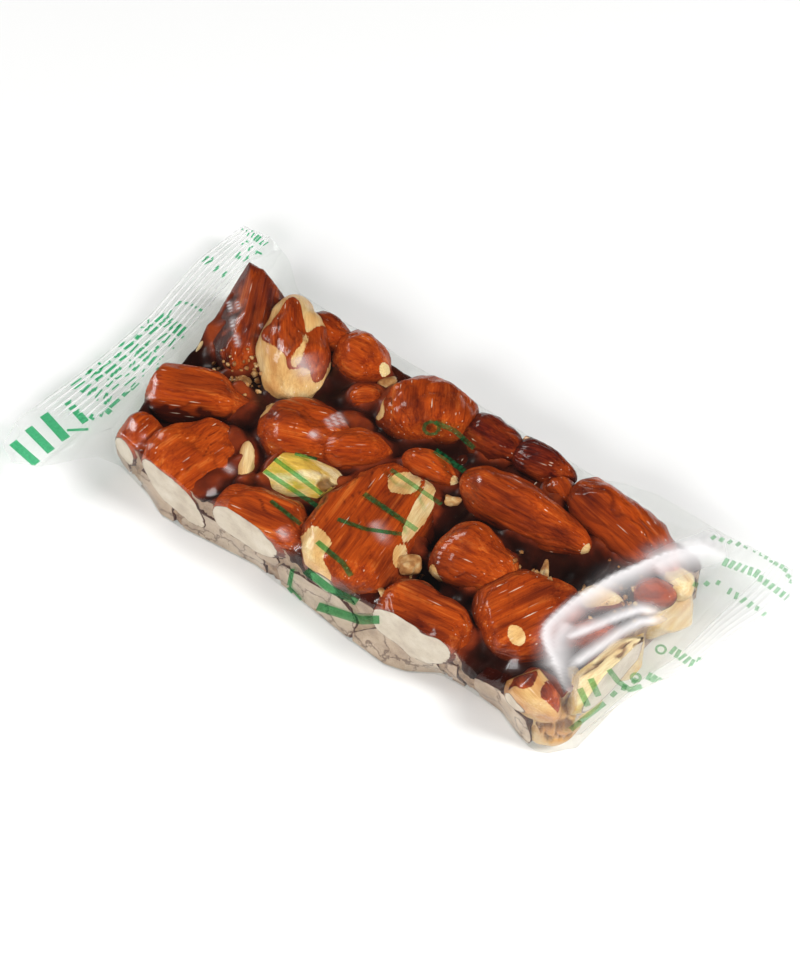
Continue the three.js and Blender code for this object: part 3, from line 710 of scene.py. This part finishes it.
def face_nuts(faces, y, sunk, hinge):
    """One nut behind each cut face of a side's lower layer, split from the others by thin cracks, which lean
    about y = hinge."""
    nuts = []
    for i, (x, z, width, height) in enumerate(faces):
        walls = []
        for other in faces[:i] + faces[i + 1:]:
            gap = np.array(other[:2]) - (x, z)
            far = np.linalg.norm(gap)
            way = gap / far
            mine, theirs = [np.linalg.norm(way * size) for size in ((width, height), other[2:])]
            edge = far * mine / (mine + theirs) - CRACK / 2
            if edge < max(width, height):
                lean = 0.15 * (i % 3 - 1)
                walls.append(((x + way[0] * edge, hinge, z + way[1] * edge), (way[0], lean, way[1])))
        size = (12, FACE_FILL * width, FACE_FILL * height)
        nuts.append(nut_at((x, y - 0.4 * (i % 2), z), size, 84 + 5 * (i % 3), square=0.6,
                           tone=0.2 + 0.2 * (i % 3), grade="low", walls=walls, sunk=sunk))
    return nuts


def back_faces():
    """Cut faces side by side along the back, uneven as the front's are."""
    row = BACK_FACES
    draw = np.random.default_rng(row["seed"])
    return [(x + 0.8 * other, row["z"] + 0.9 * off, row["width"] + off, row["height"] + other)
            for x, (off, other) in zip(np.linspace(row["start"], row["stop"], row["count"]),
                                       draw.uniform(-row["vary"], row["vary"], (row["count"], 2)))]


# ---- caramel ----
def box_shell(nx, ny, nz):
    """The closed surface of a box of nx by ny by nz cells: its points from 0 to 1 each way, and its quads."""
    def side(axis, value, flip):
        u, v = [k for k in range(3) if k != axis]
        if (axis == 1) != flip:
            u, v = v, u
        a, b = np.meshgrid(np.arange(cells[u] + 1), np.arange(cells[v] + 1), indexing="ij")
        spot = np.zeros(a.shape + (3,), int)
        spot[..., u], spot[..., v], spot[..., axis] = a, b, value
        return spot.reshape(-1, 3), grid_faces(cells[u] + 1, cells[v] + 1)

    cells = (nx, ny, nz)
    spots, faces, start = [], [], 0
    for axis in range(3):
        for value, flip in ((0, True), (cells[axis], False)):
            spot, quads = side(axis, value, flip)
            spots.append(spot)
            faces.append(quads + start)
            start += len(spot)
    corner, which = np.unique(np.concatenate(spots), axis=0, return_inverse=True)
    return corner / cells, which.ravel()[np.concatenate(faces)]


def nut_nearness(points, nuts):
    """How far each point lies outside the nearest nut, in millimetres, roughly."""
    nearest = np.full(len(points), 99.0)
    for nut in nuts:
        half = np.array(nut["size"]) / 2
        turn = turn_matrix(nut["yaw"], nut.get("pitch", 0), nut.get("roll", 0))
        spot = (points - np.array(nut["at"])) @ turn / half
        nearest = np.minimum(nearest, (np.linalg.norm(spot, axis=1) - 1) * half[1:].mean())
    return nearest


def caramel_height(x, y):
    """The top of the caramel: rippled, low in the hollows, and drawn up round each nut."""
    low = np.max([deep * np.clip(1 - ((x - px) ** 2 + (y - py) ** 2) / reach ** 2, 0, 1)
                  for px, py, reach, deep in PITS], 0)
    level = CARAMEL["level"] + CARAMEL["ripple"] * wander(np.stack([x, y], 1), 5.0, 3) - low
    near = nut_nearness(np.stack([x, y, level], 1), NUTS)
    return level + CARAMEL["climb"] * np.exp(-np.clip(near, 0, None) / CARAMEL["reach"]), near


def caramel(materials):
    """The caramel slab that binds the nuts, its front a little behind the cut nuts."""
    unit, faces = box_shell(*CARAMEL["cells"])
    y = lerp(-19.0, CARAMEL["back"], unit[:, 1])
    x = lerp(end_x(LEFT_END, y) + CARAMEL["recess"], end_x(RIGHT_END, y) - CARAMEL["right"], unit[:, 0])
    z = lerp(BASE_LIFT, caramel_height(x, y)[0], unit[:, 2])
    front = front_y(x, z) + CARAMEL["recess"] + CARAMEL["corner"] * smooth(x, *CARAMEL["corner_x"])
    y = lerp(front, CARAMEL["back"], unit[:, 1])
    top, near = caramel_height(x, y)
    z = lerp(BASE_LIFT, top, unit[:, 2])
    points = np.stack([x, y, z], 1)
    rough = sum(high * wander(points, size, 5 + k) for k, (high, size) in enumerate(CARAMEL["rough"]))
    y = y + rough * (unit[:, 1] == 0) - np.abs(rough) * (unit[:, 1] == 1)
    reach, most = CARAMEL["thin"]
    thin = most * np.exp(-np.clip(near, 0, None) / reach)
    piece = new_piece("caramel", np.stack([x, y, z], 1), faces, materials, thin=thin)
    flat = np.ptp(unit[faces], axis=1) == 0
    cut = flat[:, 1] & (unit[faces][:, 0, 1] == 0)
    ends = flat[:, 0]
    piece.data.polygons.foreach_set("material_index", (cut | ends).astype(np.int32))
    return piece


# ---- crumbs ----
def crumb_shape(size, yaw, seed, detail=2):
    """A broken chip: a ball pushed out of round, with flats."""
    ball = bmesh.new()
    bmesh.ops.create_icosphere(ball, subdivisions=detail, radius=1.0)
    points = np.array([v.co for v in ball.verts])
    faces = [[v.index for v in f.verts] for f in ball.faces]
    ball.free()
    points = points * (1 + 0.2 * wander(points, 1.7, seed))[:, None]
    points = np.sign(points) * np.abs(points) ** 0.8
    return (points * np.array(size) / 2) @ turn_matrix(yaw, 0, 0).T, faces


def scatter(name, chips, material):
    """Many chips as one piece. Each chip is (centre, size, yaw, seed, detail)."""
    points, faces, start = [], [], 0
    for at, size, yaw, seed, detail in chips:
        shape, quads = crumb_shape(size, yaw, seed, detail)
        points.append(shape + np.array(at))
        faces += [[i + start for i in q] for q in quads]
        start += len(shape)
    return new_piece(name, np.concatenate(points), faces, [material])


def crumbs(material, ground):
    draw = np.random.default_rng(CRUMBS["seed"])
    chips = []
    for _ in range(CRUMBS["count"]):
        cx, cy, reach = CRUMBS["clusters"][draw.integers(len(CRUMBS["clusters"]))]
        x, y = (cx, cy) + draw.normal(size=2) * reach * 0.55
        size = draw.uniform(*CRUMBS["size"]) * draw.uniform(0.6, 1.2, 3)
        hit = ground.ray_cast(Vector((x, y, 40)) * MM, Vector((0, 0, -1)))
        if hit[0] is not None and hit[0].z < CRUMBS["highest"] * MM:
            at = (x, y, hit[0].z / MM + 0.1 * size[2])
            chips.append((at, size, draw.uniform(0, 180), int(draw.integers(999)), 1))
    return scatter("nut_crumbs", chips, material)


# ---- film ----
def resample(line, count):
    """A polyline as count points, evenly spaced along it."""
    line = np.array(line, float)
    run = np.concatenate([[0], np.cumsum(np.linalg.norm(np.diff(line, axis=0), axis=1))])
    at = np.linspace(0, run[-1], count)
    return np.stack([np.interp(at, run, line[:, k]) for k in range(line.shape[1])], 1)


def through(parts, counts):
    """Points along several polylines one after the other, sharing their ends."""
    runs = [resample(p, n + 1) for p, n in zip(parts, counts)]
    return np.concatenate([runs[0], *[r[1:] for r in runs[1:]]])


def film_rib(x_share, edge):
    """One line of film round half of the bar, from its front over the top, or under it, to its back."""
    front_x = lerp(LEFT_END["front"][0] - 0.6, RIGHT_END["front"][0] + 0.6, x_share)
    back_x = lerp(LEFT_END["back"][0] - 0.4, RIGHT_END["back"][0] + 0.5, x_share)
    close_y, close_z = [np.interp(back_x, BACK_CLOSE[:, 0], BACK_CLOSE[:, k]) for k in (1, 2)]
    inner_x = float(np.clip(front_x, FRONT[0, 0], FRONT[-1, 0]))
    walls = [(front_x, float(front_y(inner_x, z)) - FILM_GAP, z) for z in np.linspace(5, edge, 7)]
    back_top = (back_x, BACK_Y + FILM_GAP, edge)
    return through([walls, [walls[-1], back_top], [back_top, (back_x, close_y, close_z)]],
                   [ROWS["side"], ROWS["top"], ROWS["side"]])


def seal_rib(line, gap):
    return resample([(x, y, SEAL_Z + gap) for x, y in line], ROWS["top"] + 2 * ROWS["side"] + 1)


def spread_ribs(ribs, counts):
    """Columns of film between ribs, counts[i] of them from rib i to rib i + 1."""
    parts = [lerp(a[None], b[None], (np.arange(n) / n)[:, None, None])
             for a, b, n in zip(ribs, ribs[1:], counts)]
    return np.concatenate([*parts, ribs[-1][None]])


def highest_under(points, ground):
    """The height of what lies under each point."""
    top = np.zeros(points.shape[:2])
    for i, j in np.ndindex(top.shape):
        hit = ground.ray_cast(Vector((points[i, j, 0], points[i, j, 1], 40)) * MM, Vector((0, 0, -1)))
        top[i, j] = hit[0].z / MM if hit[0] is not None else 0.0
    return top


def tighten(height, floor, held, rounds):
    """Draws the film tight over its load: each free point sinks to its neighbours' mean or to the floor."""
    for _ in range(rounds):
        mean = height.copy()
        mean[1:-1, 1:-1] = (height[2:, 1:-1] + height[:-2, 1:-1] + height[1:-1, 2:] + height[1:-1, :-2]) / 4
        height = np.where(held, height, np.maximum(mean, floor))
    return height


def folds_at(points):
    """The lift that the folds give the loose film at each point, and how milky the folds and glint streaks make
    it: partly whitening, partly painted reflection and painted highlights.
    """
    drop = points[..., 2:] - FOLD_PLANE
    seen = (points[..., :2] - drop * SIGHT).reshape(-1, 2)
    lift, milk = np.zeros(len(seen)), np.zeros(len(seen))
    glint_streaks = [(0.0, milky, width, width, line) for milky, width, line in GLINT_STREAKS]
    for high, white, sharp, soft, line in FOLDS + glint_streaks:
        line = resample(line, 80)
        near = ((seen > line.min(0) - 3 * soft) & (seen < line.max(0) + 3 * soft)).all(1)
        run = np.gradient(line, axis=0)
        run /= lengths(run)
        gap = seen[near, None] - line[None]
        far = np.linalg.norm(gap, axis=-1)
        at = far.argmin(1)
        best = np.arange(len(at)), at
        side = run[at, 0] * gap[best][:, 1] - run[at, 1] * gap[best][:, 0]
        width = np.where(side > 0, soft, sharp)
        fade = smooth(at, 0, 18) * (0.35 + 0.65 * smooth(80 - at, 0, 10))
        shape = np.exp(-(far[best] / width) ** np.where(side > 0, 1.3, 2.0)) * fade
        lift[near] = np.maximum(lift[near], high * shape)
        milk[near] = np.maximum(milk[near], white * shape)
    return lift.reshape(points.shape[:2]), milk.reshape(points.shape[:2])


def drape(sheet, ground, inner, over_bar):
    """Draws the bag's upper half tight over the bar, and lays its folds. Gives how milky they and the glint
    streaks make it, partly painted reflection and painted highlights.
    """
    first, last = ROWS["side"], ROWS["side"] + ROWS["top"]
    row = np.arange(sheet.shape[1])
    free = inner[:, None] & (row >= first) & (row <= last)
    floor = highest_under(sheet, ground) + FILM_GAP
    height = np.where(free, np.maximum(sheet[..., 2], floor), sheet[..., 2])
    # along the knife-cut front, the film's edge follows the nuts just behind it, evened out
    near = [np.roll(floor[:, first + k], shift) for k in (1, 2, 3) for shift in range(-2, 3)]
    edge = np.maximum.reduce(near)
    even = np.convolve(np.pad(edge, 6, mode="edge"), np.ones(13) / 13, mode="valid")
    height[over_bar, first] = np.maximum(even, edge)[over_bar]
    held = ~free
    held[over_bar, first] = True
    height = tighten(height, np.where(free, floor, -9.0), held, SETTLE)
    lift, milk = folds_at(np.dstack([sheet[..., :2], np.maximum(height, 8)]))
    height = np.maximum(height, np.where(free, floor, height)) + lift * free
    wall = lerp(sheet[:, :1, 2], height[:, first:first + 1], np.arange(1, first) / first)
    height[:, 1:first] = np.where(over_bar[:, None], wall, height[:, 1:first])
    high, size = CRUMPLE
    crumple = high * wander(sheet[..., :2].reshape(-1, 2), size, 21).reshape(height.shape)
    sheet[..., 2] = height + np.abs(crumple) * free
    return milk


def film_sheet(upper, ground):
    """One half of the bag, from its left edge to its right edge, as columns x rows of points. Gives them, how
    milky each is, and how high on a crimp."""
    gap = SEAL_GAP if upper else -SEAL_GAP
    bar_ribs = [film_rib(share, RIB_Z[upper]) for share in np.linspace(0, 1, SPANS + 1)]
    ribs = [seal_rib(LEFT_EDGE, gap), seal_rib(LEFT_SEAL, gap), *bar_ribs, seal_rib(RIGHT_SEAL, gap),
            seal_rib(RIGHT_EDGE, gap)]
    n_seal, n_tent, n_bar = COLUMNS.values()
    bar_counts = [n_bar // SPANS + (k % 6 == 0) for k in range(SPANS)]
    sheet = spread_ribs(ribs, [n_seal, n_tent, *bar_counts, n_tent, n_seal])
    total = len(sheet) - 1
    column = np.arange(total + 1)
    row = np.linspace(0, 1, sheet.shape[1])
    inner, over_bar = [(column > edge) & (column < total - edge) for edge in (n_seal, n_seal + n_tent)]
    if upper:
        milk = drape(sheet, ground, inner, over_bar)
    # how far out on its fin each column lies. The right fin narrows to nothing at the near corner.
    left = np.clip((n_seal - column) / n_seal, 0, 1)[:, None]
    right = np.clip((column - (total - n_seal)) / n_seal, 0, 1)[:, None]
    narrow = np.clip(np.linalg.norm(sheet[-1] - sheet[total - n_seal], axis=1) / FIN["right"][0], 0, 1)
    crimp, wave = 0, 0
    for side, out, full in (("left", left, 1.0), ("right", right, narrow)):
        width, strong = FIN[side]
        ridges = np.sin(2 * math.pi * (width / FIN["pitch"]) * out)
        crimp = crimp + ridges * smooth(row, *CRIMP_START[side]) * strong * full * (out > 0)
        high, turns, start = FIN_WAVE[side]
        wave = wave + high * out * np.sin(row * turns + start)
    curl, reach = CORNER_CURL
    sheet[..., 2] += FIN["crimp"] * crimp
    sheet[..., 2] += curl * left * (1 - smooth(row, 0.0, reach))
    sheet[..., 2] += wave
    haze = MILK["film"] + MILK["seal"] * smooth(left + right, 0, 0.1)
    haze = haze + MILK["crest"] * np.clip(crimp, 0, 1) ** 2 + MILK["tent"] * (inner & ~over_bar)[:, None]
    haze = haze + MILK["corner"] * left * (1 - smooth(row, 0.1, 0.24))
    if upper:
        loose = smooth(column / total, 0.7, 0.86)[:, None]
        # the folds' and glint streaks' milkiness: partly whitening, partly painted reflection and painted
        # highlights
        haze = np.maximum(haze + MILK["loose"] * loose, MILK["fold"] * milk)
    return sheet, haze, crimp


def film(material, ground):
    """The bag: an upper and a lower half that meet along both sides and in the two seals."""
    (upper, haze_up, crimp), (lower, haze_low, _) = [film_sheet(half, ground) for half in (True, False)]
    columns, rows = upper.shape[:2]
    points = np.concatenate([upper.reshape(-1, 3), lower.reshape(-1, 3)])
    points[:, 2] = np.maximum(points[:, 2], LOWEST)
    quads = grid_faces(columns, rows)
    faces = np.concatenate([quads, quads[:, ::-1] + columns * rows])
    return new_piece("wrapper_film", points, faces, [material], haze=np.append(haze_up, haze_low),
                     crimp=np.append(crimp, 0 * crimp))


# ---- print ----
INK_GAP = 0.03
INK_STEP = {FIN_PLANE: 0.26, NUT_PLANE: 0.35}  # the size of the ink's quads
FAINT = (-75, 60)  # x from the strongest ink to the faintest
INK_CREST = 0.92  # how high on a crimp, from -1 to 1, the ink still takes
INK_JUMP = (2.5, 0.6)  # a quad wider than this many steps and this much more would bridge a gap: left out


def seen_on_film(spot, plane, film_tree, eye):
    """Where the camera's line through a point of a level plane meets the film."""
    target = Vector((*spot, plane)) * MM
    way = (target - eye).normalized()
    spot, _, face, _ = film_tree.ray_cast(eye, way)
    return (None, 0) if spot is None else (np.array(spot / MM) - np.array(way) * INK_GAP, face)


def stroke(points, width, plane, film_tree, crest, eye):
    """A stroke of ink laid on the film as a strip of small quads. The ink misses the crests of the crimps."""
    step = INK_STEP[plane]
    count = max(3, int(np.linalg.norm(np.diff(points, axis=0), axis=1).sum() / step))
    line = resample(points, count)
    way = np.gradient(line, axis=0)
    side = np.stack([-way[:, 1], way[:, 0]], 1) / lengths(way)
    cells = max(2, round(width / step))
    places = [k / cells - 0.5 for k in range(cells + 1)]
    strip = [[seen_on_film(spot + out * width * place, plane, film_tree, eye) for place in places]
             for spot, out in zip(line, side)]
    laid, faces = [], []
    index = {}
    for i, row in enumerate(strip):
        for j, (spot, face) in enumerate(row):
            if spot is not None and crest[face] < INK_CREST:
                index[i, j] = len(laid)
                laid.append(spot)
    for i, j in np.ndindex(len(strip) - 1, cells):
        corner = [(i, j), (i + 1, j), (i + 1, j + 1), (i, j + 1)]
        if all(c in index for c in corner):
            quad = [index[c] for c in corner]
            if max(np.ptp([laid[q] for q in quad], axis=0)) < INK_JUMP[0] * step + INK_JUMP[1]:
                faces.append(quad)
    return laid, faces


def all_strokes():
    """Every stroke of the print, as (plane, width, points)."""
    draw = np.random.default_rng(5)
    strokes = [(plane, width, line) for plane, bars in BARS.items() for width, line in bars]
    for first, last, count, long in DASH_ROWS:
        for spot in resample([first, last], count):
            lean = draw.uniform(-0.3, 0.3)
            along = np.array([math.sin(lean), math.cos(lean)]) * long / 2
            bold = draw.uniform(0.8, 1.25) if spot[0] < 0 else draw.uniform(0.5, 0.8)
            strokes.append((FIN_PLANE, bold, [spot - along, spot + along]))
    turn = np.linspace(0, 2 * math.pi, 17)
    circle = np.stack([np.cos(turn), np.sin(turn)], 1)
    for plane, rings in RINGS.items():
        strokes += [(plane, width, np.array(centre) + radius * circle) for centre, radius, width in rings]
    return strokes


def film_print(material, film_piece, eye):
    """The green print, as strips of ink on the film."""
    tree = BVHTree.FromPolygons([v.co for v in film_piece.data.vertices],
                                [p.vertices for p in film_piece.data.polygons])
    crimp = np.empty(len(film_piece.data.vertices), np.float32)
    film_piece.data.attributes["crimp"].data.foreach_get("value", crimp)
    crest = [max(crimp[v] for v in p.vertices) for p in film_piece.data.polygons]
    points, faces = [], []
    for plane, width, line in all_strokes():
        laid, quads = stroke(np.array(line, float), width, plane, tree, crest, eye)
        faces += [[i + len(points) for i in q] for q in quads]
        points += laid
    faint = smooth(np.array(points)[:, 0], *FAINT)
    return new_piece("wrapper_print", points, faces, [material], faint=faint)


# ---- camera, floor and light ----
def camera_place():
    a, e = math.radians(CAMERA["azimuth"]), math.radians(CAMERA["elevation"])
    back = Vector((math.sin(a) * math.cos(e), -math.cos(a) * math.cos(e), math.sin(e)))
    return (Vector(CAMERA["target"]) + back * CAMERA["distance"]) * MM, back


def make_camera():
    place, back = camera_place()
    camera = bpy.data.objects.new("camera", bpy.data.cameras.new("camera"))
    camera.location = place
    camera.rotation_mode = "QUATERNION"
    camera.rotation_quaternion = (-back).to_track_quat("-Z", "Y")
    camera.data.lens = CAMERA["lens"]
    camera.data.clip_start = 0.01
    bpy.context.scene.collection.objects.link(camera)
    bpy.context.scene.camera = camera


def softbox(name, place, aim, size, power, mirrored):
    """A rectangular panel of light, in metres and watts."""
    lamp = bpy.data.objects.new(name, bpy.data.lights.new(name, "AREA"))
    lamp.data.shape = "RECTANGLE"
    lamp.data.size, lamp.data.size_y = size
    lamp.data.energy = power
    lamp.location = place
    lamp.rotation_mode = "QUATERNION"
    lamp.rotation_quaternion = (Vector(aim) - Vector(place)).to_track_quat("-Z", "Y")
    lamp.visible_glossy = mirrored
    bpy.context.scene.collection.objects.link(lamp)


def make_studio():
    corners = [(-TABLE, -TABLE, 0), (TABLE, -TABLE, 0), (TABLE, TABLE, 0), (-TABLE, TABLE, 0)]
    floor = new_piece("table", corners, [(0, 1, 2, 3)], [material("table_top_painted_white", painted_white)])
    for name, light in LIGHTS.items():
        softbox(name, *light)
    world = bpy.data.worlds.new("studio_air")
    world.use_nodes = True
    tree = world.node_tree
    way = add(tree, "TexCoord", out="Generated")
    card = add(tree, "VectorMath", way, CARD_WAY, operation="DOT_PRODUCT", out="Value")
    tree.links.new(add(tree, "MapRange", card, *AIR), tree.nodes["Background"].inputs["Strength"])
    bpy.context.scene.world = world
    bpy.context.scene.view_settings.view_transform = "Standard"


# ---- the object ----
def surface_tree(pieces):
    """A search tree over several pieces, in metres."""
    points, faces = [], []
    for piece in pieces:
        faces += [[i + len(points) for i in p.vertices] for p in piece.data.polygons]
        points += [v.co for v in piece.data.vertices]
    return BVHTree.FromPolygons(points, faces)


def main():
    make_camera()
    make_studio()
    nut_materials = [material("almond_skin_roasted_and_glazed", almond_skin),
                     material("almond_kernel_knife_cut", almond_cut)]
    groups = {name: NUTS[row] for name, row in NUT_ROWS.items()}
    end_nuts = [nut | {"grade": "low"} for nut in END_NUTS]
    groups["almonds_low"] = face_nuts(FRONT_FACES, FRONT_ROW, 0.14, 0.0) + end_nuts
    groups["almonds_back"] = face_nuts(back_faces(), BACK_ROW, 0.0, BACK_Y)
    almonds = []
    for k, (name, nuts) in enumerate(groups.items()):
        parts = [almond(f"{name}_{i}", nut, 100 * k + 7 * i, nut_materials) for i, nut in enumerate(nuts)]
        almonds.append(joined(name, parts))
    slab = caramel([material("caramel_poured_dark", caramel_poured),
                    material("caramel_knife_cut", caramel_cut)])
    chip = material("almond_kernel_broken", nut_crumb)
    ground = surface_tree([*almonds, slab])
    chips = [(at, size, yaw, 31 + i, 3) for i, (at, size, yaw) in enumerate(SLIVERS)]
    slivers = scatter("nut_slivers", chips, chip)
    dust = crumbs(chip, ground)
    load = surface_tree([*almonds, slab, slivers])
    bag = film(material("polypropylene_film_heat_sealed", film_clear), load)
    ink = film_print(material("flexographic_ink_green", ink_green), bag, camera_place()[0])
    for piece in [*almonds, slab, slivers, dust]:
        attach(piece, ROOT)
    for piece in (bag, ink):
        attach(piece, ROOT)
    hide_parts("brittle_bar")
    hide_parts("wrapper_end_left", "wrapper_end_right")


main()
